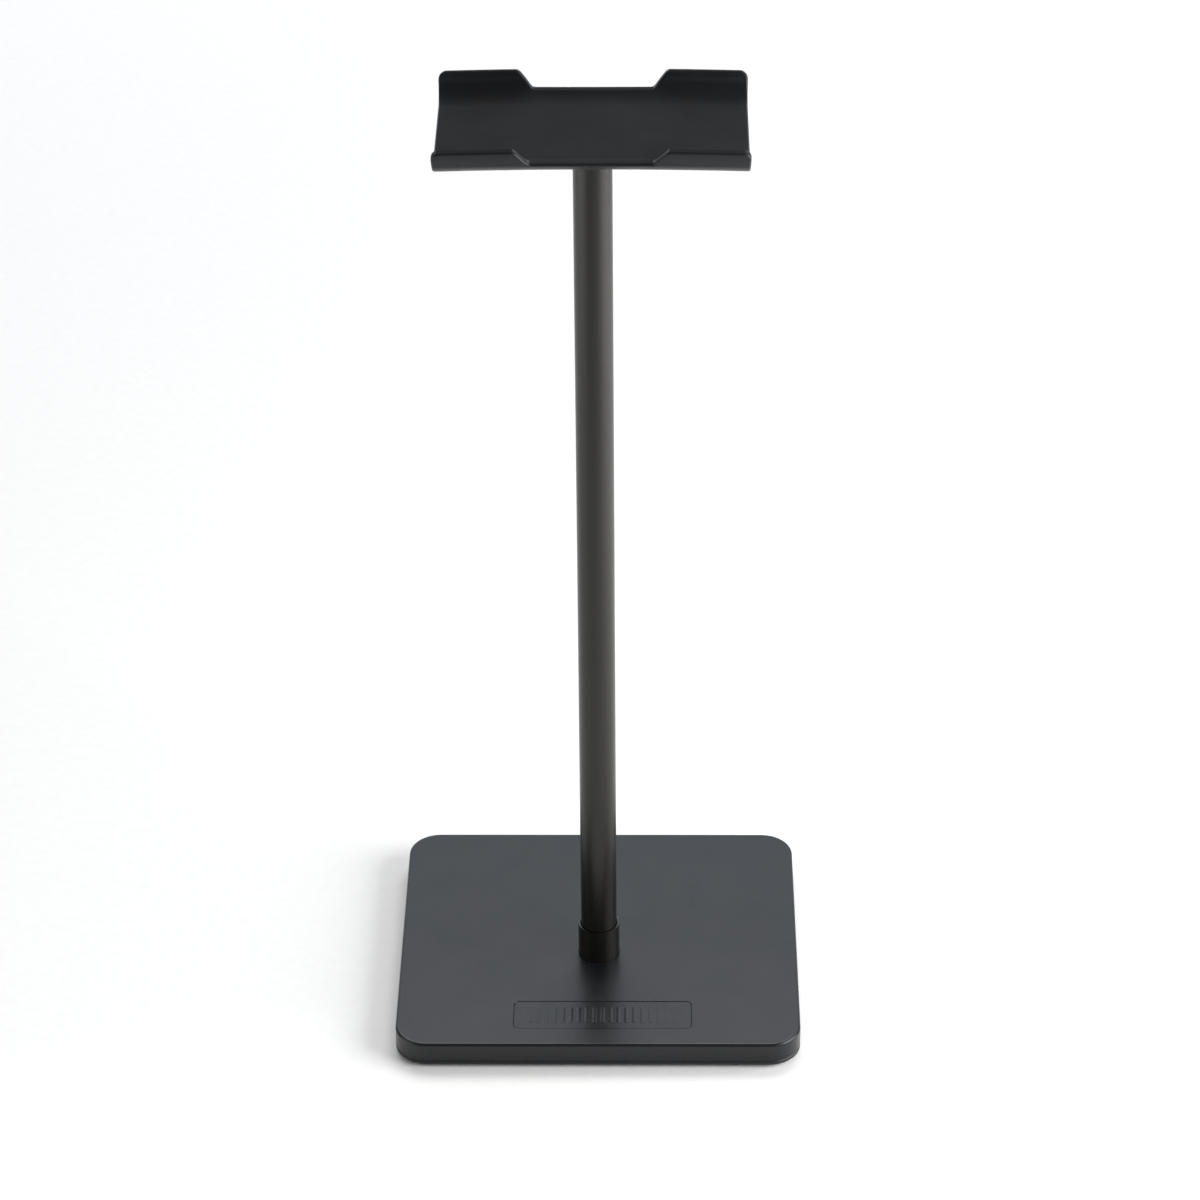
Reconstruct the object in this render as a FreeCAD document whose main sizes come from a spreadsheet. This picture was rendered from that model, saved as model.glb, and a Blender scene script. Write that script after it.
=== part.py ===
import FreeCAD, Part
import os
import Sketcher

# Headphone stand, in millimetres. A flat weighted base carries a thin round post, and a flanged
# saddle on top of the post holds the headband.
#
# Frame: +Z is up and +X runs along the saddle. The badge on the base faces -Y, the front. The
# origin is on the table, below the centre of the base, and the four feet stand on Z = 0.

SIZES = {
    # Base: a moulded cover, closed from below by a thin plate on four rubber feet.
    "base_width": 106.4,
    "base_depth": 93.3,
    "base_corner": 8.5,
    "cover_height": 5.6,
    "cover_wall": 2.0,
    "cover_roof": 2.0,
    "cover_edge_round": 0.8,
    "plate_height": 1.2,
    "plate_edge_round": 0.5,
    "parting_bevel": 0.25,
    "tongue_height": 0.4,
    "tongue_width": 1.2,
    "tongue_gap": 0.15,
    # Rubber feet, each set into a shallow round pocket of the bottom plate.
    "foot_radius": 6.0,
    "foot_height": 1.3,
    "foot_recess": 0.5,
    "foot_gap": 0.15,
    "foot_inset": 11.0,
    "foot_edge_round": 0.3,
    # Steel ballast under the roof of the cover, held up by two foam strips.
    "ballast_height": 3.0,
    "ballast_gap": 0.5,
    "ballast_corner": 6.0,
    "strip_width": 8.0,
    "strip_depth": 56.0,
    "strip_height": 0.6,
    "strip_spread": 28.0,
    # Four countersunk screws close the base. They bite into bosses of the cover.
    "lid_screw_across": 45.0,
    "lid_screw_along": 22.0,
    "lid_screw_radius": 1.2,
    "lid_screw_length": 4.6,
    "lid_head_radius": 2.2,
    "lid_tip_length": 0.6,
    "lid_tip_radius": 0.36,
    "lid_pilot_spare": 0.2,
    "lid_boss_radius": 2.7,
    "lid_boss_clearance": 0.4,
    "cross_width": 0.7,
    "cross_length": 2.6,
    "cross_height": 0.55,
    # Badge: a ribbed inlay in a shallow pocket of the cover.
    "badge_width": 46.7,
    "badge_depth": 11.3,
    "badge_corner": 1.4,
    "badge_recess": 0.5,
    "badge_rim_round": 0.25,
    "badge_front": 7.0,
    "badge_offset": 1.2,
    "badge_gap": 0.1,
    "inlay_height": 0.38,
    "rib_width": 1.2,
    "rib_pitch": 2.1,
    "rib_length": 6.2,
    "rib_height": 0.06,
    "rib_count": 19,
    # Post: a tube with a threaded plug in each end, in a collar at its foot.
    "post_set_forward": 6.5,
    "tube_radius": 4.75,
    "tube_wall": 1.0,
    "tube_length": 239.2,
    "collar_radius": 5.5,
    "collar_height": 10.1,
    "collar_mouth_bevel": 0.25,
    "collar_foot_bevel": 0.25,
    "seat_recess": 0.4,
    "seat_gap": 0.1,
    "lower_plug_length": 20.0,
    "upper_plug_length": 16.0,
    "plug_bevel": 0.5,
    # Fixing screw of the post and stud of the saddle, both with the same thread.
    "thread_radius": 2.5,
    "thread_gap": 0.02,
    "post_hole_radius": 2.75,
    "post_screw_length": 16.0,
    "post_head_radius": 4.6,
    "post_head_land": 0.25,
    "post_socket_width": 3.0,
    "post_socket_depth": 1.6,
    "screw_tip_bevel": 0.5,
    "access_hole_radius": 7.0,
    "stud_length": 17.0,
    "stud_in_plug": 13.0,
    "stud_socket_width": 2.5,
    "stud_socket_depth": 2.0,
    # Saddle: a channel with flared flanges, bent a little so that its ends droop.
    "saddle_length": 74.5,
    "saddle_wall": 2.0,
    "saddle_floor_half": 14.5,
    "saddle_bend": 6.0,
    "saddle_flare": 14.0,
    "saddle_flange": 1.45,
    "saddle_droop": 0.55,
    "saddle_edge_round": 0.5,
    "tab_corner": 2.0,
    "flange_rim": 8.0,
    "notch_half_bottom": 14.6,
    "notch_half_top": 18.3,
    "notch_height": 3.6,
    "notch_round": 1.6,
    # Boss under the saddle: a socket for the tube, then a brass insert for the stud.
    "boss_radius": 6.25,
    "boss_drop": 5.0,
    "boss_bevel": 0.4,
    "socket_depth": 1.5,
    "socket_gap": 0.05,
    "gusset_reach": 16.0,
    "gusset_side_reach": 11.5,
    "gusset_drop": 3.2,
    "gusset_width": 1.6,
    "insert_radius": 3.2,
    "insert_length": 4.5,
    "insert_flute": 0.3,
    "insert_flute_count": 16,
}

# Lengths and heights that follow from the sizes, as expressions on the sheet.
FOOT_DROP = "(Dims.foot_height - Dims.foot_recess)"
COVER_BOTTOM = f"({FOOT_DROP} + Dims.plate_height)"
BASE_TOP = f"({COVER_BOTTOM} + Dims.cover_height)"
CAVITY_HEIGHT = "(Dims.cover_height - Dims.cover_roof)"
CAVITY_WIDTH = "(Dims.base_width - 2 * Dims.cover_wall)"
CAVITY_DEPTH = "(Dims.base_depth - 2 * Dims.cover_wall)"
CAVITY_CORNER = "(Dims.base_corner - Dims.cover_wall)"
BALLAST_BOTTOM = f"({COVER_BOTTOM} + {CAVITY_HEIGHT} - Dims.ballast_height)"
POST_Y = "(-Dims.post_set_forward)"
POST_BOTTOM = f"({BASE_TOP} - Dims.seat_recess)"
TUBE_TOP = f"({POST_BOTTOM} + Dims.tube_length)"
TUBE_BORE = "(Dims.tube_radius - Dims.tube_wall)"
SADDLE_BOTTOM = f"({TUBE_TOP} + Dims.boss_drop - Dims.socket_depth)"
BADGE_Y = "(-Dims.base_depth / 2 + Dims.badge_front + Dims.badge_depth / 2)"
FOOT_X = "(Dims.base_width / 2 - Dims.foot_inset)"
FOOT_Y = "(Dims.base_depth / 2 - Dims.foot_inset)"
THREAD_BORE = "(Dims.thread_radius + Dims.thread_gap)"
BEND_CENTRE = "(Dims.saddle_bend + Dims.saddle_wall)"

# Two lengths this close count as one, and two faces that meet at a larger angle, in radians, as a
# sharp edge.
SAME_LENGTH = 1e-3
SHARP_ANGLE = 0.2

doc = FreeCAD.newDocument("headphone_stand")
sheet = doc.addObject("Spreadsheet::Sheet", "Dims")
for row, (alias, size) in enumerate(SIZES.items(), 1):
    sheet.set(f"A{row}", alias)
    sheet.set(f"B{row}", str(size))
    sheet.setAlias(f"B{row}", alias)
doc.recompute()


# ---------------------------------------------------------------- helpers


def value(expression):
    """The number that an expression gives with the sizes on the sheet."""
    result = sheet.evalExpression(expression)
    return float(getattr(result, "Value", result))


def bind(item, **expressions):
    """Bind properties of an object to the sheet; a double underscore stands for a dot."""
    for name, expression in expressions.items():
        item.setExpression(name.replace("__", "."), expression)


def place(item, x="0", y="0", z="0"):
    bind(item, Placement__Base__x=x, Placement__Base__y=y, Placement__Base__z=z)


def new_body(label):
    body = doc.addObject("PartDesign::Body", label)
    body.Label = label
    return body


def new_sketch(body, name, role="XY_Plane", offset=None):
    """A sketch on one of the body's own origin planes, moved along its normal by offset."""
    sketch = body.newObject("Sketcher::SketchObject", name)
    plane = next(item for item in body.Origin.OriginFeatures if item.Role == role)
    sketch.AttachmentSupport = [(plane, "")]
    sketch.MapMode = "FlatFace"
    if offset:
        bind(sketch, AttachmentOffset__Base__z=offset)
    return sketch


def constrain(sketch, kind, *where, to=None):
    """Add a constraint, driven by the expression to where there is one."""
    if to is None:
        sketch.addConstraint(Sketcher.Constraint(kind, *where))
        return
    index = sketch.addConstraint(Sketcher.Constraint(kind, *where, value(to)))
    sketch.setExpression(f"Constraints[{index}]", to)


def pin(sketch, geometry, point, across, up):
    """Hold a point of a sketch at driven distances from the sketch's origin."""
    constrain(sketch, "DistanceX", -1, 1, geometry, point, to=across)
    constrain(sketch, "DistanceY", -1, 1, geometry, point, to=up)


def polygon(sketch, corners):
    """A closed outline of straight lines through corners given as (across, up) pairs."""
    points = [FreeCAD.Vector(value(across), value(up), 0) for across, up in corners]
    first = sketch.GeometryCount
    count = len(points)
    for index, point in enumerate(points):
        sketch.addGeometry(Part.LineSegment(point, points[(index + 1) % count]), False)
    for index in range(count):
        constrain(sketch, "Coincident", first + index, 2, first + (index + 1) % count, 1)
    for index, (across, up) in enumerate(corners):
        pin(sketch, first + index, 1, across, up)


def circle(sketch, radius, across="0", up="0"):
    middle = FreeCAD.Vector(value(across), value(up), 0)
    round_line = Part.Circle(middle, FreeCAD.Vector(0, 0, 1), value(radius))
    index = sketch.addGeometry(round_line, False)
    constrain(sketch, "Radius", index, to=radius)
    pin(sketch, index, 3, across, up)


def four_corners(across, up):
    """The four places at plus and minus two driven distances."""
    return [(f"{x} * {across}", f"{y} * {up}") for x in (-1, 1) for y in (-1, 1)]


def rounded_rectangle(sketch, width, depth, radius, across="0", up="0"):
    """A rectangle with round corners about a driven centre: four arcs joined by tangent lines."""
    first = sketch.GeometryCount
    size = value(radius)
    quarter = FreeCAD.Units.parseQuantity("90 deg").getValueAs("rad").Value
    signs = ((1, 1), (-1, 1), (-1, -1), (1, -1))
    centres = [
        (f"{across} + {x} * ({width} / 2 - {radius})", f"{up} + {y} * ({depth} / 2 - {radius})")
        for x, y in signs
    ]
    for turn, (x, y) in enumerate(centres):
        middle = FreeCAD.Vector(value(x), value(y), 0)
        whole = Part.Circle(middle, FreeCAD.Vector(0, 0, 1), size)
        sketch.addGeometry(Part.ArcOfCircle(whole, turn * quarter, (turn + 1) * quarter), False)
    for turn in range(4):
        start = sketch.getPoint(first + turn, 2)
        end = sketch.getPoint(first + (turn + 1) % 4, 1)
        line = sketch.addGeometry(Part.LineSegment(start, end), False)
        constrain(sketch, "Tangent", line, 1, first + turn, 2)
        constrain(sketch, "Tangent", line, 2, first + (turn + 1) % 4, 1)
    for turn, (x, y) in enumerate(centres):
        constrain(sketch, "Radius", first + turn, to=radius)
        pin(sketch, first + turn, 3, x, y)


def crown(sketch, width, height, across="0", up="0"):
    """A low arc that stands on its own chord: the section of a domed rib."""
    radius = f"(({width} ^ 2 / 4 + {height} ^ 2) / (2 * {height}))"
    right = (f"({across} + {width} / 2)", up)
    left = (f"({across} - {width} / 2)", up)
    ends = [FreeCAD.Vector(value(x), value(y), 0) for x, y in (right, left)]
    middle = FreeCAD.Vector(value(across), value(f"({up} + {height} - {radius})"), 0)
    whole = Part.Circle(middle, FreeCAD.Vector(0, 0, 1), value(radius))
    arc = sketch.addGeometry(Part.ArcOfCircle(whole, *(whole.parameter(end) for end in ends)), False)
    chord = sketch.addGeometry(Part.LineSegment(*reversed(ends)), False)
    constrain(sketch, "Coincident", arc, 1, chord, 2)
    constrain(sketch, "Coincident", arc, 2, chord, 1)
    constrain(sketch, "Radius", arc, to=radius)
    pin(sketch, arc, 1, *right)
    pin(sketch, arc, 2, *left)


def hexagon(sketch, width):
    """A regular hexagon about the origin, with the driven distance across its flats."""
    flat = f"({width} / 2)"
    point = f"({width} / sqrt(3))"
    corners = [
        (point, "0"),
        (f"{point} / 2", flat),
        (f"-{point} / 2", flat),
        (f"-{point}", "0"),
        (f"-{point} / 2", f"-{flat}"),
        (f"{point} / 2", f"-{flat}"),
    ]
    polygon(sketch, corners)


def pad(body, name, sketch, length, symmetric=False):
    feature = body.newObject("PartDesign::Pad", name)
    feature.Profile = sketch
    bind(feature, Length=length)
    if symmetric:
        feature.SideType = "Symmetric"
    doc.recompute()
    return feature


def pocket(body, name, sketch, length=None, upward=False):
    """Cut a sketch's outline out of the body, all the way through where no length is given."""
    before = body.Shape.Volume
    feature = body.newObject("PartDesign::Pocket", name)
    feature.Profile = sketch
    feature.Reversed = upward
    if length:
        bind(feature, Length=length)
    else:
        feature.SideType = "Symmetric"
        feature.Type = "ThroughAll"
    doc.recompute()
    if body.Shape.Volume >= before:
        raise RuntimeError(f"{body.Label}: {name} cuts nothing")
    return feature


def turned(body, corners):
    """Turn an outline in the body's XZ plane round its vertical axis."""
    profile = new_sketch(body, f"{body.Label}_profile", "XZ_Plane")
    polygon(profile, corners)
    feature = body.newObject("PartDesign::Revolution", f"{body.Label}_turned")
    feature.Profile = profile
    feature.ReferenceAxis = (profile, ["V_Axis"])
    feature.Angle = 360
    doc.recompute()
    return feature


def edge_names(feature, wanted):
    """Names of the edges of a feature for which wanted(edge) is true."""
    if feature.Shape.isNull():
        raise RuntimeError(f"{feature.Label} has no shape")
    names = [f"Edge{index}" for index, edge in enumerate(feature.Shape.Edges, 1) if wanted(edge)]
    if not names:
        raise RuntimeError(f"{feature.Label}: no such edge")
    return names


def close(number, other):
    return abs(number - other) < SAME_LENGTH


def sharp(shape, edge):
    """Whether two faces of a shape meet at an angle along an edge."""
    middle = edge.valueAt((edge.FirstParameter + edge.LastParameter) / 2)
    faces = shape.ancestorsOfType(edge, Part.Face)
    normals = [face.normalAt(*face.Surface.parameter(middle)) for face in faces]
    return len(normals) == 2 and normals[0].getAngle(normals[1]) > SHARP_ANGLE


def level(edge, height):
    """Whether an edge lies flat at a height in the body's own frame."""
    box = edge.BoundBox
    return close(box.ZMin, height) and close(box.ZMax, height)


def ring(edge, height, radius):
    """Whether an edge is a circle of a radius, lying flat at a height."""
    return level(edge, height) and hasattr(edge.Curve, "Radius") and close(edge.Curve.Radius, radius)


def dress(body, kind, name, base, wanted, size):
    """Add a Fillet or a Chamfer of a driven size to the edges of the feature base."""
    feature = body.newObject(f"PartDesign::{kind}", name)
    feature.Base = (base, edge_names(base, wanted))
    bind(feature, **{"Radius" if kind == "Fillet" else "Size": size})
    doc.recompute()
    return feature


# ---------------------------------------------------------------- base


def base_cover():
    """The moulded shell of the base: roof, walls, screw bosses, badge pocket and post seat."""
    body = new_body("base_cover")
    place(body, z=COVER_BOTTOM)
    outline = new_sketch(body, "cover_outline")
    rounded_rectangle(outline, "Dims.base_width", "Dims.base_depth", "Dims.base_corner")
    block = pad(body, "cover_block", outline, "Dims.cover_height")
    top = value("Dims.cover_height")
    rounded = dress(
        body, "Fillet", "cover_top_round", block, lambda edge: level(edge, top), "Dims.cover_edge_round"
    )
    dress(
        body, "Chamfer", "cover_parting", rounded, lambda edge: level(edge, 0), "Dims.parting_bevel"
    )

    cavity = new_sketch(body, "cover_cavity_outline")
    rounded_rectangle(cavity, CAVITY_WIDTH, CAVITY_DEPTH, CAVITY_CORNER)
    pocket(body, "cover_cavity", cavity, CAVITY_HEIGHT, upward=True)

    bosses = new_sketch(body, "cover_boss_outlines")
    for across, up in four_corners("Dims.lid_screw_across", "Dims.lid_screw_along"):
        circle(bosses, "Dims.lid_boss_radius", across, up)
    pad(body, "cover_bosses", bosses, CAVITY_HEIGHT)
    pilots = new_sketch(body, "cover_pilot_outlines")
    for across, up in four_corners("Dims.lid_screw_across", "Dims.lid_screw_along"):
        circle(pilots, "Dims.lid_screw_radius", across, up)
    pilot_depth = "(Dims.lid_screw_length - Dims.plate_height + Dims.lid_pilot_spare)"
    pocket(body, "cover_pilots", pilots, pilot_depth, upward=True)

    badge = new_sketch(body, "badge_pocket_outline", offset="Dims.cover_height")
    rounded_rectangle(
        badge, "Dims.badge_width", "Dims.badge_depth", "Dims.badge_corner", "Dims.badge_offset", BADGE_Y
    )
    recess = pocket(body, "badge_pocket", badge, "Dims.badge_recess")
    dress(
        body,
        "Fillet",
        "badge_rim_round",
        recess,
        lambda edge: level(edge, top) and sharp(recess.Shape, edge),
        "Dims.badge_rim_round",
    )

    seat = new_sketch(body, "post_seat_outline", offset="Dims.cover_height")
    circle(seat, "(Dims.collar_radius + Dims.seat_gap)", up=POST_Y)
    pocket(body, "post_seat", seat, "Dims.seat_recess")
    hole = new_sketch(body, "post_hole_outline")
    circle(hole, "Dims.post_hole_radius", up=POST_Y)
    pocket(body, "post_hole", hole)
    return body


def badge_inlay():
    """A thin plate in the badge pocket, with a row of plain domed ribs."""
    body = new_body("badge_inlay")
    place(body, x="Dims.badge_offset", y=BADGE_Y, z=f"({BASE_TOP} - Dims.badge_recess)")
    outline = new_sketch(body, "inlay_outline")
    rounded_rectangle(
        outline,
        "(Dims.badge_width - 2 * Dims.badge_gap)",
        "(Dims.badge_depth - 2 * Dims.badge_gap)",
        "(Dims.badge_corner - Dims.badge_gap)",
    )
    pad(body, "inlay_plate", outline, "Dims.inlay_height")
    row_reach = "(Dims.rib_pitch * (Dims.rib_count - 1))"
    rib = new_sketch(body, "rib_section", "XZ_Plane")
    crown(rib, "Dims.rib_width", "Dims.rib_height", f"(-{row_reach} / 2)", "Dims.inlay_height")
    first = pad(body, "first_rib", rib, "Dims.rib_length", symmetric=True)
    row = body.newObject("PartDesign::LinearPattern", "rib_row")
    row.Originals = [first]
    row.Direction = (rib, ["H_Axis"])
    bind(row, Length=row_reach, Occurrences="Dims.rib_count")
    body.Tip = row
    doc.recompute()
    return body


def ballast_plate():
    """The steel plate in the base, with holes for the bosses and a countersink for the post screw."""
    body = new_body("ballast_plate")
    place(body, z=BALLAST_BOTTOM)
    outline = new_sketch(body, "ballast_outline")
    rounded_rectangle(
        outline,
        f"({CAVITY_WIDTH} - 2 * Dims.ballast_gap)",
        f"({CAVITY_DEPTH} - 2 * Dims.ballast_gap)",
        "Dims.ballast_corner",
    )
    pad(body, "ballast_blank", outline, "Dims.ballast_height")
    holes = new_sketch(body, "ballast_holes_outline")
    for across, up in four_corners("Dims.lid_screw_across", "Dims.lid_screw_along"):
        circle(holes, "(Dims.lid_boss_radius + Dims.lid_boss_clearance)", across, up)
    circle(holes, "Dims.post_hole_radius", up=POST_Y)
    drilled = pocket(body, "ballast_holes", holes)
    radius = value("Dims.post_hole_radius")
    dress(
        body,
        "Chamfer",
        "post_countersink",
        drilled,
        lambda edge: ring(edge, 0, radius),
        "(Dims.post_head_radius + Dims.post_head_land - Dims.post_hole_radius)",
    )
    return body


def foam_strip(label, side):
    """A foam strip that holds the ballast up against the roof and stops it rattling."""
    strip = doc.addObject("Part::Box", label)
    strip.Label = label
    bind(strip, Length="Dims.strip_width", Width="Dims.strip_depth", Height="Dims.strip_height")
    place(
        strip,
        x=f"({side} * Dims.strip_spread - Dims.strip_width / 2)",
        y="(-Dims.strip_depth / 2)",
        z=COVER_BOTTOM,
    )
    return strip


def bottom_plate():
    """The plate that closes the base: locating tongue, foot pockets, screw holes and access hole."""
    body = new_body("bottom_plate")
    place(body, z=FOOT_DROP)
    outline = new_sketch(body, "plate_outline")
    rounded_rectangle(outline, "Dims.base_width", "Dims.base_depth", "Dims.base_corner")
    block = pad(body, "plate_block", outline, "Dims.plate_height")
    top = value("Dims.plate_height")
    rounded = dress(
        body, "Fillet", "plate_edge_round", block, lambda edge: level(edge, 0), "Dims.plate_edge_round"
    )
    dress(
        body, "Chamfer", "plate_parting", rounded, lambda edge: level(edge, top), "Dims.parting_bevel"
    )

    tongue = new_sketch(body, "tongue_outline", offset="Dims.plate_height")
    for inset in ("Dims.tongue_gap", "(Dims.tongue_gap + Dims.tongue_width)"):
        rounded_rectangle(
            tongue,
            f"({CAVITY_WIDTH} - 2 * {inset})",
            f"({CAVITY_DEPTH} - 2 * {inset})",
            f"({CAVITY_CORNER} - {inset})",
        )
    pad(body, "tongue", tongue, "Dims.tongue_height")

    recesses = new_sketch(body, "foot_recess_outlines")
    for across, up in four_corners(FOOT_X, FOOT_Y):
        circle(recesses, "(Dims.foot_radius + Dims.foot_gap)", across, up)
    pocket(body, "foot_recesses", recesses, "Dims.foot_recess", upward=True)

    holes = new_sketch(body, "plate_hole_outlines")
    for across, up in four_corners("Dims.lid_screw_across", "Dims.lid_screw_along"):
        circle(holes, "Dims.lid_screw_radius", across, up)
    circle(holes, "Dims.access_hole_radius", up=POST_Y)
    drilled = pocket(body, "plate_holes", holes)
    radius = value("Dims.lid_screw_radius")
    dress(
        body,
        "Chamfer",
        "lid_countersinks",
        drilled,
        lambda edge: ring(edge, 0, radius),
        "(Dims.lid_head_radius - Dims.lid_screw_radius)",
    )
    return body


def bottom_plate_screws():
    """Four small countersunk screws with cross recesses, head down in the bottom plate."""
    body = new_body("bottom_plate_screws")
    body.AllowCompound = True
    place(body, x="(-Dims.lid_screw_across)", y="(-Dims.lid_screw_along)", z=FOOT_DROP)
    first = turned(
        body,
        [
            ("0", "0"),
            ("Dims.lid_head_radius", "0"),
            ("Dims.lid_screw_radius", "(Dims.lid_head_radius - Dims.lid_screw_radius)"),
            ("Dims.lid_screw_radius", "(Dims.lid_screw_length - Dims.lid_tip_length)"),
            ("Dims.lid_tip_radius", "Dims.lid_screw_length"),
            ("0", "Dims.lid_screw_length"),
        ],
    )
    cross = new_sketch(body, "cross_recess_outline")
    near = "(Dims.cross_width / 2)"
    far = "(Dims.cross_length / 2)"
    arms = [(far, near), (near, near), (near, far)]
    corners = arms
    corners = corners + [(f"-{x}", y) for x, y in reversed(arms)]
    corners = corners + [(f"-{x}", f"-{y}") for x, y in arms]
    corners = corners + [(x, f"-{y}") for x, y in reversed(arms)]
    polygon(cross, corners)
    recess = pocket(body, "cross_recess", cross, "Dims.cross_height", upward=True)
    grid = body.newObject("PartDesign::LinearPattern", "screw_grid")
    grid.Originals = [first, recess]
    grid.Direction = (cross, ["H_Axis"])
    grid.Direction2 = (cross, ["V_Axis"])
    grid.Occurrences = 2
    grid.Occurrences2 = 2
    bind(grid, Length="(2 * Dims.lid_screw_across)", Length2="(2 * Dims.lid_screw_along)")
    body.Tip = grid
    doc.recompute()
    return body


def rubber_foot(label, x_side, y_side):
    """A round rubber foot. It stands proud of the bottom plate and carries the base."""
    body = new_body(label)
    place(body, x=f"({x_side} * {FOOT_X})", y=f"({y_side} * {FOOT_Y})")
    outline = new_sketch(body, f"{label}_outline")
    circle(outline, "Dims.foot_radius")
    disc = pad(body, f"{label}_disc", outline, "Dims.foot_height")
    dress(
        body, "Fillet", f"{label}_round", disc, lambda edge: level(edge, 0), "Dims.foot_edge_round"
    )
    return body


# ---------------------------------------------------------------- post


def post_tube():
    """The post: a straight round tube from the seat in the base up into the saddle's socket."""
    outside = doc.addObject("Part::Cylinder", "tube_outside")
    bind(outside, Radius="Dims.tube_radius", Height="Dims.tube_length")
    bore = doc.addObject("Part::Cylinder", "tube_bore")
    bind(bore, Radius=TUBE_BORE, Height="Dims.tube_length")
    tube = doc.addObject("Part::Cut", "post_tube")
    tube.Label = "post_tube"
    tube.Base = outside
    tube.Tool = bore
    place(tube, y=POST_Y, z=POST_BOTTOM)
    return tube


def post_collar():
    """The collar round the post's foot: a plain sleeve, bevelled inside its mouth and outside its foot."""
    body = new_body("post_collar")
    place(body, y=POST_Y, z=POST_BOTTOM)
    outside, top = "Dims.collar_radius", "Dims.collar_height"
    turned(
        body,
        [
            ("Dims.tube_radius", "0"),
            (f"({outside} - Dims.collar_foot_bevel)", "0"),
            (outside, "Dims.collar_foot_bevel"),
            (outside, top),
            ("(Dims.tube_radius + Dims.collar_mouth_bevel)", top),
            ("Dims.tube_radius", f"({top} - Dims.collar_mouth_bevel)"),
        ],
    )
    return body


def tube_plug(label, length, bottom):
    """A threaded plug pressed into one end of the tube. The thread is a plain bore."""
    body = new_body(label)
    place(body, y=POST_Y, z=bottom)
    bevel = "Dims.plug_bevel"
    turned(
        body,
        [
            (THREAD_BORE, "0"),
            (f"({TUBE_BORE} - {bevel})", "0"),
            (TUBE_BORE, bevel),
            (TUBE_BORE, f"({length} - {bevel})"),
            (f"({TUBE_BORE} - {bevel})", length),
            (THREAD_BORE, length),
        ],
    )
    return body


def post_screw():
    """The countersunk screw that pulls the post down, from below, through ballast and roof."""
    body = new_body("post_screw")
    place(body, y=POST_Y, z=BALLAST_BOTTOM)
    land = "Dims.post_head_land"
    taper = "(Dims.post_head_radius - Dims.thread_radius)"
    turned(
        body,
        [
            ("0", "0"),
            ("Dims.post_head_radius", "0"),
            ("Dims.post_head_radius", land),
            ("Dims.thread_radius", f"({land} + {taper})"),
            ("Dims.thread_radius", "(Dims.post_screw_length - Dims.screw_tip_bevel)"),
            ("(Dims.thread_radius - Dims.screw_tip_bevel)", "Dims.post_screw_length"),
            ("0", "Dims.post_screw_length"),
        ],
    )
    socket = new_sketch(body, "post_screw_socket_outline")
    hexagon(socket, "Dims.post_socket_width")
    pocket(body, "post_screw_socket", socket, "Dims.post_socket_depth", upward=True)
    return body


# ---------------------------------------------------------------- saddle


def saddle_stud():
    """A headless stud, half in the upper plug and half in the saddle's insert."""
    body = new_body("saddle_stud")
    place(body, y=POST_Y, z=f"({TUBE_TOP} - Dims.stud_in_plug)")
    bevel = "Dims.screw_tip_bevel"
    turned(
        body,
        [
            ("0", "0"),
            (f"(Dims.thread_radius - {bevel})", "0"),
            ("Dims.thread_radius", bevel),
            ("Dims.thread_radius", f"(Dims.stud_length - {bevel})"),
            (f"(Dims.thread_radius - {bevel})", "Dims.stud_length"),
            ("0", "Dims.stud_length"),
        ],
    )
    socket = new_sketch(body, "stud_socket_outline")
    hexagon(socket, "Dims.stud_socket_width")
    pocket(body, "stud_socket", socket, "Dims.stud_socket_depth", upward=True)
    return body


def saddle_insert():
    """The fluted brass insert moulded into the boss of the saddle. Its thread is a plain bore."""
    body = new_body("saddle_insert")
    place(body, y=POST_Y, z=TUBE_TOP)
    turned(
        body,
        [
            (THREAD_BORE, "0"),
            ("Dims.insert_radius", "0"),
            ("Dims.insert_radius", "Dims.insert_length"),
            (THREAD_BORE, "Dims.insert_length"),
        ],
    )
    flute = new_sketch(body, "flute_outline")
    circle(flute, "Dims.insert_flute", across="Dims.insert_radius")
    first = pocket(body, "first_flute", flute, "Dims.insert_length", upward=True)
    flutes = body.newObject("PartDesign::PolarPattern", "flutes")
    flutes.Originals = [first]
    flutes.Axis = (flute, ["N_Axis"])
    flutes.Angle = 360
    bind(flutes, Occurrences="Dims.insert_flute_count")
    body.Tip = flutes
    doc.recompute()
    return body


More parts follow.
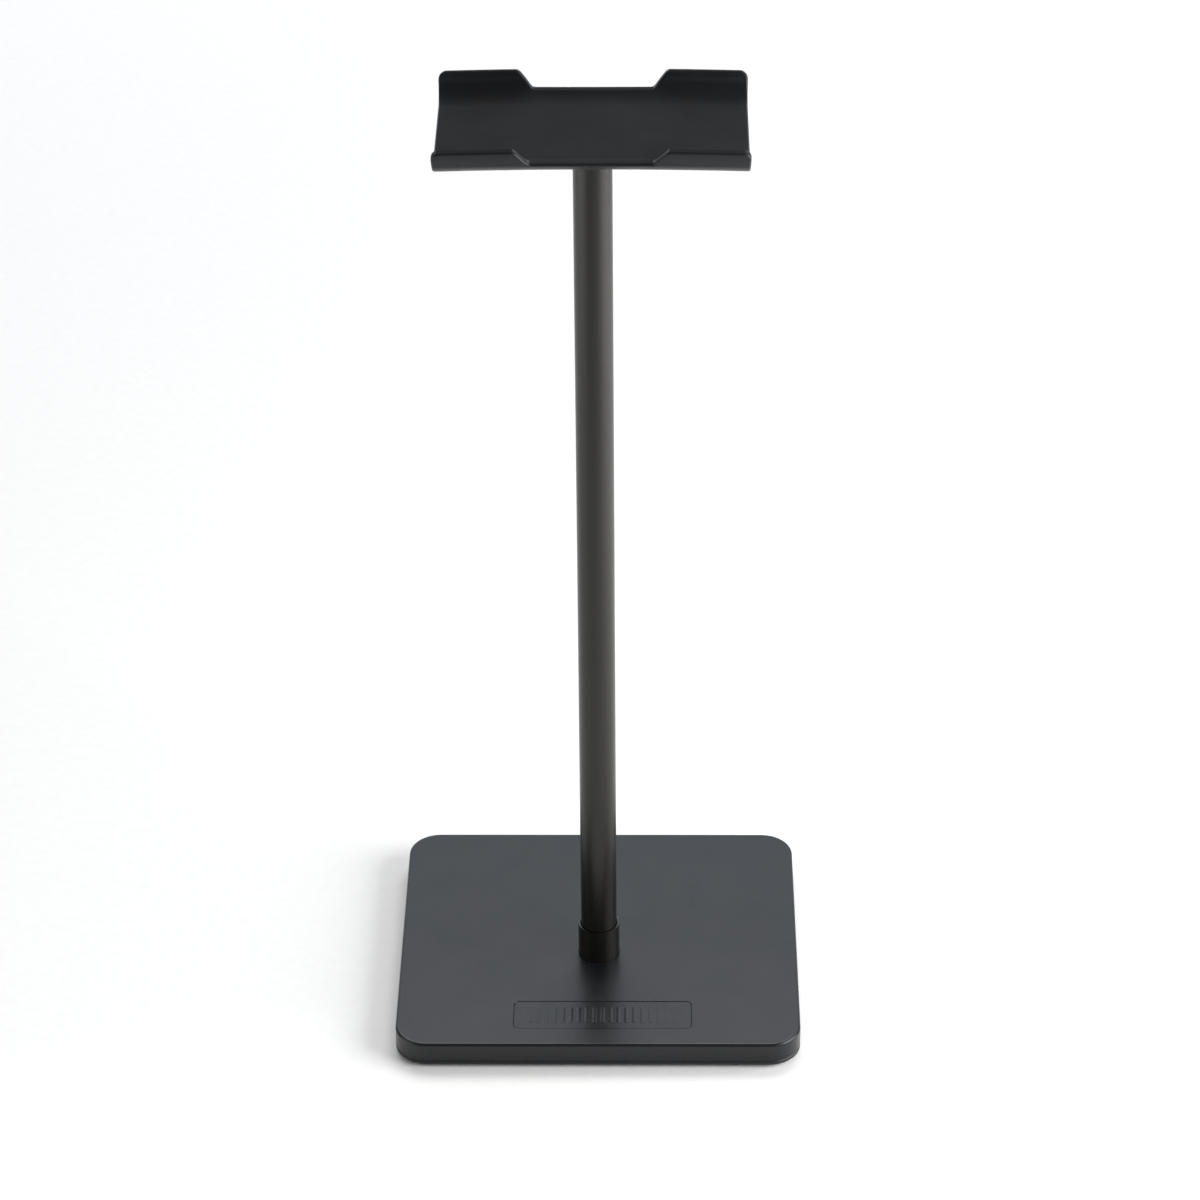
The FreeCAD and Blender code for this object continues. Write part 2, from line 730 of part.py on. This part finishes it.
def channel_section(sketch):
    """Section of the saddle: a flat floor, two round bends and two flared flanges of one wall.

    The outer and the inner line share the centres of their bends. Every joint is tangent except
    at the two rims, which are square to the flanges.
    """
    half, flare, flange = "Dims.saddle_floor_half", "Dims.saddle_flare", "Dims.saddle_flange"
    flanges = {}
    for line, bend in (("outer", BEND_CENTRE), ("inner", "Dims.saddle_bend")):
        floor_ends = {}
        for side in (1, -1):
            across, up = f"{side} * {flange} * sin({flare})", f"{flange} * cos({flare})"
            centre = FreeCAD.Vector(side * value(half), value(BEND_CENTRE), 0)
            low = centre - FreeCAD.Vector(0, value(bend), 0)
            out = FreeCAD.Vector(
                value(f"{side} * {bend} * cos({flare})"), value(f"-{bend} * sin({flare})"), 0
            )
            tip = centre + out + FreeCAD.Vector(value(across), value(up), 0)
            whole = Part.Circle(centre, FreeCAD.Vector(0, 0, 1), value(bend))
            ends = (low, centre + out) if side > 0 else (centre + out, low)
            round_part = Part.ArcOfCircle(whole, *(whole.parameter(end) for end in ends))
            arc = sketch.addGeometry(round_part, False)
            straight = sketch.addGeometry(Part.LineSegment(centre + out, tip), False)
            floor_end, flange_end = (1, 2) if side > 0 else (2, 1)
            constrain(sketch, "Tangent", straight, 1, arc, flange_end)
            constrain(sketch, "Radius", arc, to=bend)
            pin(sketch, arc, 3, f"{side} * {half}", BEND_CENTRE)
            constrain(sketch, "DistanceX", straight, 1, straight, 2, to=across)
            constrain(sketch, "DistanceY", straight, 1, straight, 2, to=up)
            floor_ends[side] = (arc, floor_end)
            flanges[line, side] = straight
        left, right = (sketch.getPoint(*floor_ends[side]) for side in (-1, 1))
        floor = sketch.addGeometry(Part.LineSegment(left, right), False)
        constrain(sketch, "Tangent", floor, 1, *floor_ends[-1])
        constrain(sketch, "Tangent", floor, 2, *floor_ends[1])
    for side in (1, -1):
        outside, inside = flanges["outer", side], flanges["inner", side]
        tips = (sketch.getPoint(outside, 2), sketch.getPoint(inside, 2))
        rim = sketch.addGeometry(Part.LineSegment(*tips), False)
        constrain(sketch, "Coincident", rim, 1, outside, 2)
        constrain(sketch, "Coincident", rim, 2, inside, 2)


def saddle_channel(body):
    """The bent channel: its section turned about an axis far below, so that both ends droop."""
    half_length = "(Dims.saddle_length / 2)"
    droop = "Dims.saddle_droop"
    arch = f"(({half_length} ^ 2 + {droop} ^ 2) / (2 * {droop}))"
    profile = new_sketch(body, "channel_section", "YZ_Plane")
    channel_section(profile)
    low = -value(arch)
    axis = Part.LineSegment(FreeCAD.Vector(-1, low, 0), FreeCAD.Vector(1, low, 0))
    axis_line = profile.addGeometry(axis, True)
    pin(profile, axis_line, 1, "-1", f"(-{arch})")
    pin(profile, axis_line, 2, "1", f"(-{arch})")
    channel = body.newObject("PartDesign::Revolution", "channel")
    channel.Profile = profile
    channel.ReferenceAxis = (profile, ["Axis0"])
    channel.Midplane = True
    bind(channel, Angle=f"(2 * asin({half_length} / ({arch} + {BEND_CENTRE})))")
    doc.recompute()


def saddle_notches(body):
    """The notches in the middle of both flanges, with slanted sides and round corners."""
    low, high = "Dims.notch_half_bottom", "Dims.notch_half_top"
    height = "Dims.notch_height"
    above = "(2 * Dims.flange_rim)"
    slant = f"(({high} - {low}) / (Dims.flange_rim - {height}))"
    far = f"({low} + {slant} * ({above} - {height}))"
    outline = new_sketch(body, "notch_outline", "XZ_Plane")
    polygon(outline, [(f"(-{low})", height), (low, height), (far, above), (f"(-{far})", above)])
    notched = pocket(body, "notches", outline)

    longest = 1.5 * value("Dims.saddle_wall")
    middle_part = value(high) + value("Dims.saddle_wall")

    def across_wall(edge):
        run = edge.Vertexes[-1].Point - edge.Vertexes[0].Point
        return edge.Length < longest and abs(run.y) > 0.8 * edge.Length

    def notch_corner(edge):
        return across_wall(edge) and abs(edge.CenterOfMass.x) < middle_part

    def tab_corner(edge):
        return across_wall(edge) and abs(edge.CenterOfMass.x) > middle_part

    rounded = dress(body, "Fillet", "notch_rounds", notched, notch_corner, "Dims.notch_round")
    rounded = dress(body, "Fillet", "tab_rounds", rounded, tab_corner, "Dims.tab_corner")
    shape = rounded.Shape
    dress(
        body, "Fillet", "saddle_edges", rounded, lambda edge: sharp(shape, edge), "Dims.saddle_edge_round"
    )


def saddle_boss(body):
    """The boss under the floor, braced by four gussets, with its socket and insert hole."""
    inside_floor = "(Dims.saddle_wall / 2)"
    boss = new_sketch(body, "boss_outline", offset="(-Dims.boss_drop)")
    circle(boss, "Dims.boss_radius")
    stub = pad(body, "boss", boss, f"(Dims.boss_drop + {inside_floor})")
    low, radius = -value("Dims.boss_drop"), value("Dims.boss_radius")
    dress(
        body, "Chamfer", "boss_bevel", stub, lambda edge: ring(edge, low, radius), "Dims.boss_bevel"
    )
    for role, reach in (("XZ_Plane", "Dims.gusset_reach"), ("YZ_Plane", "Dims.gusset_side_reach")):
        outline = new_sketch(body, f"gusset_outline_{role[:2]}", role)
        polygon(
            outline,
            [
                (f"(-{reach})", "0"),
                ("(-Dims.boss_radius)", "(-Dims.gusset_drop)"),
                ("Dims.boss_radius", "(-Dims.gusset_drop)"),
                (reach, "0"),
                (reach, inside_floor),
                (f"(-{reach})", inside_floor),
            ],
        )
        pad(body, f"gussets_{role[:2]}", outline, "Dims.gusset_width", symmetric=True)
    holes = (
        ("tube_socket", "(Dims.tube_radius + Dims.socket_gap)", "Dims.socket_depth"),
        ("insert_hole", "Dims.insert_radius", "(Dims.socket_depth + Dims.insert_length)"),
    )
    for name, hole_radius, depth in holes:
        outline = new_sketch(body, f"{name}_outline", offset="(-Dims.boss_drop)")
        circle(outline, hole_radius)
        pocket(body, name, outline, depth, upward=True)


def saddle():
    """The saddle: a bent flanged channel, notched in both flanges, on a boss for the post."""
    body = new_body("saddle")
    place(body, y=POST_Y, z=SADDLE_BOTTOM)
    saddle_channel(body)
    saddle_notches(body)
    saddle_boss(body)
    return body


PARTS = [
    base_cover(),
    badge_inlay(),
    ballast_plate(),
    foam_strip("foam_strip_left", -1),
    foam_strip("foam_strip_right", 1),
    bottom_plate(),
    bottom_plate_screws(),
    rubber_foot("foot_front_left", -1, -1),
    rubber_foot("foot_front_right", 1, -1),
    rubber_foot("foot_rear_left", -1, 1),
    rubber_foot("foot_rear_right", 1, 1),
    post_screw(),
    post_tube(),
    post_collar(),
    tube_plug("lower_plug", "Dims.lower_plug_length", POST_BOTTOM),
    tube_plug("upper_plug", "Dims.upper_plug_length", f"({TUBE_TOP} - Dims.upper_plug_length)"),
    saddle_stud(),
    saddle_insert(),
    saddle(),
]

doc.recompute()
for item in doc.Objects:
    if {"Invalid", "Error"} & set(item.State):
        raise RuntimeError(f"{item.Label} failed: {item.State}")
for part in PARTS:
    if part.Shape.isNull() or not part.Shape.isValid():
        raise RuntimeError(f"{part.Label} has no valid shape")

os.makedirs("parts", exist_ok=True)
for part in PARTS:
    part.Shape.exportStep(f"parts/{part.Label}.step")
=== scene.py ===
"""Materials, soft parts, light and camera for the headphone stand.

A moulded plastic base with a hidden steel ballast carries a thin satin-black metal post, and a moulded
plastic saddle sits on top of the post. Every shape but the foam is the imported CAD, and all of it rides on
one body. Lengths are in metres, in the CAD's own frame: X to the right, Y to the back, Z up from the floor.
"""

import math

import bmesh
import bpy
from mathutils import Matrix, Vector, noise


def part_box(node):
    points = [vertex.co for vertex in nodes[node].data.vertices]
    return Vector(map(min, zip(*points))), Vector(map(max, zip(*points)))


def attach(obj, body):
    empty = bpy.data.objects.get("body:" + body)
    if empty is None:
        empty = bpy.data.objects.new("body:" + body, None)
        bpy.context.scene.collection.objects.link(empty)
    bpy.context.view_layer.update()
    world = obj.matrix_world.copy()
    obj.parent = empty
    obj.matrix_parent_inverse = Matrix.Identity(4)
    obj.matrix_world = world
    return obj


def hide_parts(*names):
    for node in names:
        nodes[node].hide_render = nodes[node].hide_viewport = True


MM = 0.001

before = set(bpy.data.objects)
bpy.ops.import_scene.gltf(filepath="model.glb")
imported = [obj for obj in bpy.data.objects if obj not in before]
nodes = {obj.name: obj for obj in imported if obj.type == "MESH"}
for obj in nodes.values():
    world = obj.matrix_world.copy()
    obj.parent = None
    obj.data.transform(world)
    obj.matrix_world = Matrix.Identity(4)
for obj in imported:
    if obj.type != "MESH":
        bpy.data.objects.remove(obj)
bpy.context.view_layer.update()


# ---------------------------------------------------------------------------------------------------------
# Material nodes
# ---------------------------------------------------------------------------------------------------------


class Look:
    """A material, and short calls for the nodes that it is made of. Sizes are in millimetres."""

    def __init__(self, name):
        self.material = bpy.data.materials.new(name)
        self.material.use_nodes = True
        self.tree = self.material.node_tree
        self.shader = self.tree.nodes["Principled BSDF"]
        self.place = self.add("ShaderNodeTexCoord").outputs["Object"]
        self.relief = None

    def add(self, kind, **settings):
        """A new node, with its settings."""
        node = self.tree.nodes.new(kind)
        for name, value in settings.items():
            setattr(node, name, value)
        return node

    def feed(self, socket, source):
        """Links a socket to another node's output, or sets it to a plain value."""
        if isinstance(source, bpy.types.NodeSocket):
            self.tree.links.new(source, socket)
        else:
            socket.default_value = source

    def arithmetic(self, operation, first, second=0.0):
        """One arithmetic step on two numbers."""
        node = self.add("ShaderNodeMath", operation=operation)
        self.feed(node.inputs[0], first)
        self.feed(node.inputs[1], second)
        return node.outputs[0]

    def add_linked(self, kind, source):
        """A new node with a value or another node's output in its first socket."""
        node = self.add(kind)
        self.feed(node.inputs[0], source)
        return node

    def facing(self, axis):
        """How far the surface faces along X, Y or Z, from -1 to 1."""
        normal = self.add("ShaderNodeNewGeometry").outputs["Normal"]
        return self.add_linked("ShaderNodeSeparateXYZ", normal).outputs[axis]

    def fade(self, source, zero_at, one_at):
        """Turns a number into a share: 0 up to one value, 1 from the other, and smoothly between."""
        node = self.add("ShaderNodeMapRange", interpolation_type="SMOOTHSTEP")
        self.feed(node.inputs["Value"], source)
        node.inputs["From Min"].default_value = zero_at
        node.inputs["From Max"].default_value = one_at
        return node.outputs["Result"]

    def stretched(self, x=1.0, y=1.0, z=1.0):
        """The place, with the pattern drawn out along each axis by that factor."""
        node = self.add_linked("ShaderNodeMapping", self.place)
        node.inputs["Scale"].default_value = (1 / x, 1 / y, 1 / z)
        return node.outputs["Vector"]

    def clouds(self, size, detail=2.0, place=None):
        """Soft noise from 0 to 1, with lumps about this many millimetres across."""
        node = self.add("ShaderNodeTexNoise")
        self.feed(node.inputs["Vector"], place or self.place)
        node.inputs["Scale"].default_value = 1 / (size * MM)
        node.inputs["Detail"].default_value = detail
        return node.outputs["Fac"]

    def cells(self, size):
        """A field of rounded cells about this many millimetres across: 0 at a cell's middle."""
        node = self.add("ShaderNodeTexVoronoi", feature="SMOOTH_F1")
        self.feed(node.inputs["Vector"], self.place)
        node.inputs["Scale"].default_value = 1 / (size * MM)
        return node.outputs["Distance"]

    def ramp(self, source, *stops):
        """Turns a number into a colour or a grey, by (place, value) stops."""
        node = self.add("ShaderNodeValToRGB")
        self.feed(node.inputs["Fac"], source)
        elements = node.color_ramp.elements
        while len(elements) < len(stops):
            elements.new(0.5)
        for element, (place, value) in zip(elements, stops):
            element.position = place
            element.color = (*value, 1) if isinstance(value, tuple) else (value, value, value, 1)
        return node.outputs["Color"]

    def blend(self, share, first, second):
        """first where share is 0, and second where it is 1."""
        node = self.add("ShaderNodeMix", data_type="RGBA", clamp_factor=True)
        self.feed(node.inputs["Factor"], share)
        for socket, source in (("A", first), ("B", second)):
            self.feed(next(s for s in node.inputs if s.name == socket and s.type == "RGBA"), source)
        return next(s for s in node.outputs if s.type == "RGBA")

    def emboss(self, height, depth):
        """Adds a relief of this many millimetres on top of the reliefs before it."""
        node = self.add("ShaderNodeBump")
        node.inputs["Strength"].default_value = 1.0
        node.inputs["Distance"].default_value = depth * MM
        self.feed(node.inputs["Height"], height)
        if self.relief:
            self.feed(node.inputs["Normal"], self.relief)
        self.relief = node.outputs["Normal"]

    def rubbed_edges(self, width):
        """1 along the object's edges, to about this many millimetres from them, and 0 on its faces."""
        sharpness = 6.0
        rounded = self.add("ShaderNodeBevel", samples=4)
        rounded.inputs["Radius"].default_value = width * MM
        turn = self.add("ShaderNodeVectorMath", operation="DOT_PRODUCT")
        self.feed(turn.inputs[0], rounded.outputs["Normal"])
        self.feed(turn.inputs[1], self.add("ShaderNodeNewGeometry").outputs["Normal"])
        away = self.arithmetic("SUBTRACT", 1.0, turn.outputs["Value"])
        return self.arithmetic("MINIMUM", self.arithmetic("MULTIPLY", away, sharpness), 1.0)

    def finish(self, colour, roughness, **uniform):
        """Feeds the shader. The uniform settings go straight onto its own sockets."""
        self.feed(self.shader.inputs["Base Color"], colour)
        self.feed(self.shader.inputs["Roughness"], roughness)
        if self.relief:
            self.feed(self.shader.inputs["Normal"], self.relief)
        for name, value in uniform.items():
            self.shader.inputs[name.replace("_", " ")].default_value = value
        return self.material


# ---------------------------------------------------------------------------------------------------------
# Materials, one for each slot of the record
# ---------------------------------------------------------------------------------------------------------

# The size of the pale specks in moulded plastic, in millimetres.
SPECK_SIZE = 0.12

# The darkest and the lightest shade of the base's plastic. Its cover and its badge are one colour.
BASE_DARK = (0.0050, 0.0058, 0.0070)
BASE_LIGHT = (0.0066, 0.0076, 0.0094)


def scaled(shade, factor):
    """A colour or a grey made that many times as light, for a node's colour socket."""
    return (*(factor * part for part in shade), 1)


def moulded_plastic(name, dark, light, gloss, grain, grain_depth):
    """Near-black ABS out of a spark-eroded mould: fine rounded grain, pale specks, faint clouds in the
    colour and the gloss, and edges rubbed a little smoother and paler."""
    look = Look(name)
    pits = look.cells(grain)
    specks = look.clouds(SPECK_SIZE, detail=3)
    flow = look.clouds(26, detail=2, place=look.stretched(x=2.5))
    handled = look.clouds(9, detail=4)
    edge = look.rubbed_edges(0.7)

    look.emboss(pits, grain_depth)
    look.emboss(specks, 0.35 * grain_depth)

    body = look.ramp(flow, (0.3, dark), (0.7, light))
    pale_share = look.ramp(specks, (0.62, 0.0), (0.8, 0.35))
    speckled = look.blend(pale_share, body, scaled(light, 3))
    worn_share = look.arithmetic("MULTIPLY", edge, 0.3)
    colour = look.blend(worn_share, speckled, scaled(light, 2.2))

    polished, matt = gloss
    sheen = look.ramp(handled, (0.3, polished), (0.75, matt))
    smooth_share = look.arithmetic("MULTIPLY", edge, 0.5)
    roughness = look.blend(smooth_share, sheen, scaled((polished,) * 3, 0.8))
    return look.finish(colour, roughness, IOR=1.42)


def cover_plastic():
    """The base's cover: satin."""
    return moulded_plastic(
        "cover_plastic", BASE_DARK, BASE_LIGHT, gloss=(0.27, 0.32), grain=0.32, grain_depth=0.005
    )


def badge_plastic():
    """The badge: a little glossier and finer than the cover."""
    return moulded_plastic(
        "badge_plastic", BASE_DARK, BASE_LIGHT, gloss=(0.25, 0.30), grain=0.22, grain_depth=0.004
    )


def plate_plastic():
    """The bottom plate: duller and coarser than the cover."""
    dark, light = (0.009, 0.010, 0.011), (0.012, 0.013, 0.0145)
    return moulded_plastic("plate_plastic", dark, light, gloss=(0.44, 0.52), grain=0.45, grain_depth=0.012)


def saddle_plastic():
    """The same plastic as the base, satin below and on the cut sides of the notches. The faces that look up
    are matt, so that a headband doesn't slide."""
    look = Look("saddle_plastic")
    upward = look.fade(look.facing("Z"), zero_at=0.15, one_at=0.5)
    sideways = look.arithmetic("ABSOLUTE", look.facing("X"))
    uncut = look.fade(sideways, zero_at=0.45, one_at=0.25)
    inside = look.arithmetic("MULTIPLY", upward, uncut)

    pits = look.cells(0.34)
    specks = look.clouds(SPECK_SIZE, detail=3)
    look.emboss(pits, 0.009)
    look.emboss(specks, 0.003)
    flow = look.clouds(22, detail=2, place=look.stretched(x=2))
    colour = look.ramp(flow, (0.3, (0.0052, 0.0060, 0.0074)), (0.7, (0.0072, 0.0082, 0.0100)))
    handled = look.clouds(8, detail=4)
    satin = look.ramp(handled, (0.3, 0.36), (0.75, 0.44))
    matt = look.ramp(handled, (0.3, 0.90), (0.75, 0.96))
    return look.finish(colour, look.blend(inside, satin, matt), IOR=1.38)


def post_metal():
    """Aluminium tube, anodised satin black: drawn lines along it under a fine even etch. The dyed film is
    so dark that it shines like a clear coat and not like a metal."""
    look = Look("post_metal")
    drawn = look.clouds(0.35, detail=3, place=look.stretched(z=60))
    etch = look.clouds(0.5, detail=2)
    band = look.clouds(14, detail=2, place=look.stretched(z=3))
    look.emboss(drawn, 0.0022)
    look.emboss(etch, 0.003)
    colour = look.ramp(band, (0.3, (0.0040, 0.0038, 0.0032)), (0.7, (0.0060, 0.0057, 0.0048)))
    roughness = look.ramp(drawn, (0.25, 0.28), (0.75, 0.36))
    return look.finish(colour, roughness, IOR=1.48, Specular_Tint=(1.0, 0.98, 0.93, 1))


def foot_rubber():
    """Charcoal rubber: matt, with a fine open grain and grey dust in it."""
    look = Look("foot_rubber")
    grain = look.clouds(0.25, detail=4)
    dust = look.ramp(look.clouds(1.6, detail=5), (0.48, 0.0), (0.72, 0.6))
    look.emboss(grain, 0.03)
    colour = look.blend(dust, (0.012, 0.012, 0.012, 1), (0.045, 0.043, 0.040, 1))
    roughness = look.ramp(grain, (0.3, 0.72), (0.7, 0.9))
    return look.finish(colour, roughness, IOR=1.5)


def foam():
    """Dark grey open-cell foam: pores of different sizes, with painted shade that darkens the colour
    towards each pore's middle and leaves the cell walls paler.
    """
    look = Look("foam")
    pores_and_pore_shade = look.cells(0.5)
    fine = look.cells(0.22)
    look.emboss(pores_and_pore_shade, 0.12)
    look.emboss(fine, 0.05)
    # Painted shade: the colour is darkest at the middle of each pore and pales towards the cell walls.
    colour = look.ramp(pores_and_pore_shade, (0.1, (0.006, 0.006, 0.007)), (0.6, (0.035, 0.036, 0.040)))
    roughness = look.ramp(fine, (0.2, 0.86), (0.7, 0.97))
    return look.finish(colour, roughness, IOR=1.45)


def bare_metal(name, dark, light, gloss, lines_along, line_size):
    """Bare or thinly plated metal with fine machining or rolling lines, in patches of different shade."""
    look = Look(name)
    lines = look.clouds(line_size, detail=4, place=look.stretched(**lines_along))
    patches = look.clouds(7, detail=4)
    look.emboss(lines, 0.004)
    colour = look.ramp(patches, (0.35, dark), (0.65, light))
    roughness = look.ramp(lines, (0.25, gloss[0]), (0.75, gloss[1]))
    return look.finish(colour, roughness, Metallic=1.0)


def ballast_steel():
    """Rolled and zinc-plated sheet."""
    dark, light = (0.30, 0.30, 0.31), (0.42, 0.42, 0.42)
    rolled = {"x": 40}
    return bare_metal("ballast_steel", dark, light, gloss=(0.34, 0.52), lines_along=rolled, line_size=0.25)


def plug_steel():
    """Turned and zinc-plated steel."""
    dark, light = (0.40, 0.40, 0.40), (0.52, 0.52, 0.51)
    turned = {"x": 30, "y": 30}
    return bare_metal("plug_steel", dark, light, gloss=(0.24, 0.38), lines_along=turned, line_size=0.18)


def screw_steel():
    """Black oxide screws: the dark film lets some of the steel's own shine through."""
    dark, light = (0.035, 0.036, 0.039), (0.065, 0.066, 0.070)
    turned = {"x": 20, "y": 20}
    return bare_metal("screw_steel", dark, light, gloss=(0.30, 0.46), lines_along=turned, line_size=0.15)


def insert_brass():
    """Turned brass with a brown bloom in patches."""
    dark, light = (0.46, 0.30, 0.12), (0.66, 0.47, 0.20)
    turned = {"x": 20, "y": 20}
    return bare_metal("insert_brass", dark, light, gloss=(0.26, 0.42), lines_along=turned, line_size=0.2)


MATERIALS = {
    make.__name__: make()
    for make in (
        cover_plastic, badge_plastic, plate_plastic, saddle_plastic, post_metal, foot_rubber, foam,
        ballast_steel, plug_steel, screw_steel, insert_brass,
    )
}


def paint_cad():
    """Gives every CAD node the material of its own slot."""
    for node in nodes.values():
        for material_slot in node.material_slots:
            slot_name = material_slot.material.name.split(".")[0]
            material_slot.material = MATERIALS[slot_name]


# ---------------------------------------------------------------------------------------------------------
# Soft parts
# ---------------------------------------------------------------------------------------------------------


def rounded_outline(half_width, half_depth, corner):
    """Points round a rectangle with round corners, from its right side, counter-clockwise."""
    steps = 6
    points = []
    for turn, (x, y) in enumerate(((1, 1), (-1, 1), (-1, -1), (1, -1))):
        for step in range(steps + 1):
            angle = (turn + step / steps) * math.pi / 2
            across = x * (half_width - corner) + corner * math.cos(angle)
            along = y * (half_depth - corner) + corner * math.sin(angle)
            points.append((across, along))
    return points


def divided(outline, step):
    """The outline with its long straight sides cut into equal steps."""
    points = []
    for start, end in zip(outline, outline[1:] + outline[:1]):
        cuts = max(1, round(math.dist(start, end) / step))
        for cut in range(cuts):
            share = cut / cuts
            across = start[0] + (end[0] - start[0]) * share
            along = start[1] + (end[1] - start[1]) * share
            points.append((across, along))
    return points


def foam_rings(form, low, high):
    """Level rings of corners for a strip of cut foam in a box. The sides bulge, and the cut is slightly
    ragged."""
    middle, half = (low + high) / 2, (high - low) / 2
    bulge, ragged, corner = 0.22 * MM, 0.05 * MM, 0.9 * MM
    spacing, pore_size = 1.4 * MM, 1.5 * MM
    layers = 8
    rings = []
    for layer in range(layers + 1):
        share = layer / layers
        z = low.z + share * (high.z - low.z)
        inset = ragged + bulge * (1 - math.sin(math.pi * share))
        ring = []
        for x, y in divided(rounded_outline(half.x - inset, half.y - inset, corner), spacing):
            rough = noise.noise(Vector((x, y, z)) / pore_size) * ragged
            outward = Vector((x, y, 0)).normalized() * rough
            ring.append(form.verts.new(Vector((middle.x + x, middle.y + y, z)) + outward))
        rings.append(ring)
    return rings


def skin(form, rings):
    """Closes a stack of rings: four-sided faces round it, and a flat face at each end."""
    count = len(rings[0])
    for lower, upper in zip(rings, rings[1:]):
        for index in range(count):
            following = (index + 1) % count
            form.faces.new((lower[index], lower[following], upper[following], upper[index]))
    form.faces.new(rings[-1])
    form.faces.new(reversed(rings[0]))


def foam_pad(name, node):
    """A strip of foam between the ballast and the bottom plate, in place of its plain CAD solid."""
    form = bmesh.new()
    skin(form, foam_rings(form, *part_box(node)))
    mesh = bpy.data.meshes.new(name)
    form.to_mesh(mesh)
    form.free()
    for face in mesh.polygons:
        face.use_smooth = len(face.vertices) == 4
    pad = bpy.data.objects.new(name, mesh)
    bpy.context.scene.collection.objects.link(pad)
    pad.data.materials.append(MATERIALS["foam"])
    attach(pad, "root")
    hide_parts(node)


# ---------------------------------------------------------------------------------------------------------
# Floor, light and camera
# ---------------------------------------------------------------------------------------------------------


def floor():
    """A large pale sheet with a faint paper tooth."""
    reach = 8.0
    corners = [(-reach, -reach, 0), (reach, -reach, 0), (reach, reach, 0), (-reach, reach, 0)]
    mesh = bpy.data.meshes.new("floor")
    mesh.from_pydata(corners, [], [(0, 1, 2, 3)])
    sheet = bpy.data.objects.new("floor", mesh)
    bpy.context.scene.collection.objects.link(sheet)
    look = Look("pale_paper")
    tooth = look.clouds(3, detail=3)
    colour = look.ramp(tooth, (0.3, 0.84), (0.7, 0.86))
    sheet.data.materials.append(look.finish(colour, 0.9, Specular_IOR_Level=0.2))


def softbox(name, place, aim, width, height, brightness, tint=(1, 1, 1)):
    """A rectangular light at one place, facing another. The light itself shows only in reflections."""
    place, aim = Vector(place), Vector(aim)
    data = bpy.data.lights.new(name, "AREA")
    data.shape = "RECTANGLE"
    data.size = width
    data.size_y = height
    data.energy = brightness * math.pi * width * height
    data.color = tint
    light = bpy.data.objects.new(name, data)
    light.location = place
    light.rotation_euler = (place - aim).to_track_quat("Z", "Y").to_euler()
    light.visible_camera = False
    bpy.context.scene.collection.objects.link(light)


def studio():
    """A cool white backdrop with a warmer light above it, a bright soft light standing near on the right, a
    weaker one on the left, and dim everywhere else."""
    world = bpy.data.worlds.new("studio")
    world.use_nodes = True
    background = world.node_tree.nodes["Background"]
    background.inputs["Color"].default_value = (1, 1, 1, 1)
    background.inputs["Strength"].default_value = 0.2
    bpy.context.scene.world = world
    cool, warm = (0.85, 0.97, 1.12), (1.05, 1.00, 0.94)
    softbox("backdrop", (0, 1.5, 1.0), (0, 0, 0.1), width=3.0, height=2.0, brightness=0.95, tint=cool)
    softbox("back_top", (0, 1.0, 1.6), (0, 0.7, 0), width=1.6, height=0.8, brightness=4.6, tint=warm)
    softbox("right_box", (0.46, -0.13, 0.26), (0, 0, 0.14), width=0.5, height=0.4, brightness=7.2)
    softbox("left_box", (-0.5, -0.22, 0.16), (0, 0, 0.16), width=0.5, height=0.32, brightness=2.0)


def camera():
    """A long lens, looking down from the front on the middle of the stand."""
    data = bpy.data.cameras.new("camera")
    data.sensor_width = 36
    data.lens = 121.6
    view = bpy.data.objects.new("camera", data)
    bpy.context.scene.collection.objects.link(view)
    target = Vector((0.88, 0, 115.61)) * MM
    distance = 1037.4 * MM
    azimuth, pitch, roll = (math.radians(angle) for angle in (-0.826, 32.85, -0.449))
    level = math.cos(pitch)
    forward = Vector((math.sin(azimuth) * level, math.cos(azimuth) * level, -math.sin(pitch)))
    view.location = target - forward * distance
    upright = forward.to_track_quat("-Z", "Y").to_matrix()
    view.rotation_euler = (upright @ Matrix.Rotation(roll, 3, "Z")).to_euler()
    data.clip_start = 0.05
    data.clip_end = 50
    bpy.context.scene.camera = view


paint_cad()
foam_pad("foam_pad_left", "foam_strip_left")
foam_pad("foam_pad_right", "foam_strip_right")
floor()
studio()
camera()

bpy.context.scene.view_settings.view_transform = "Standard"
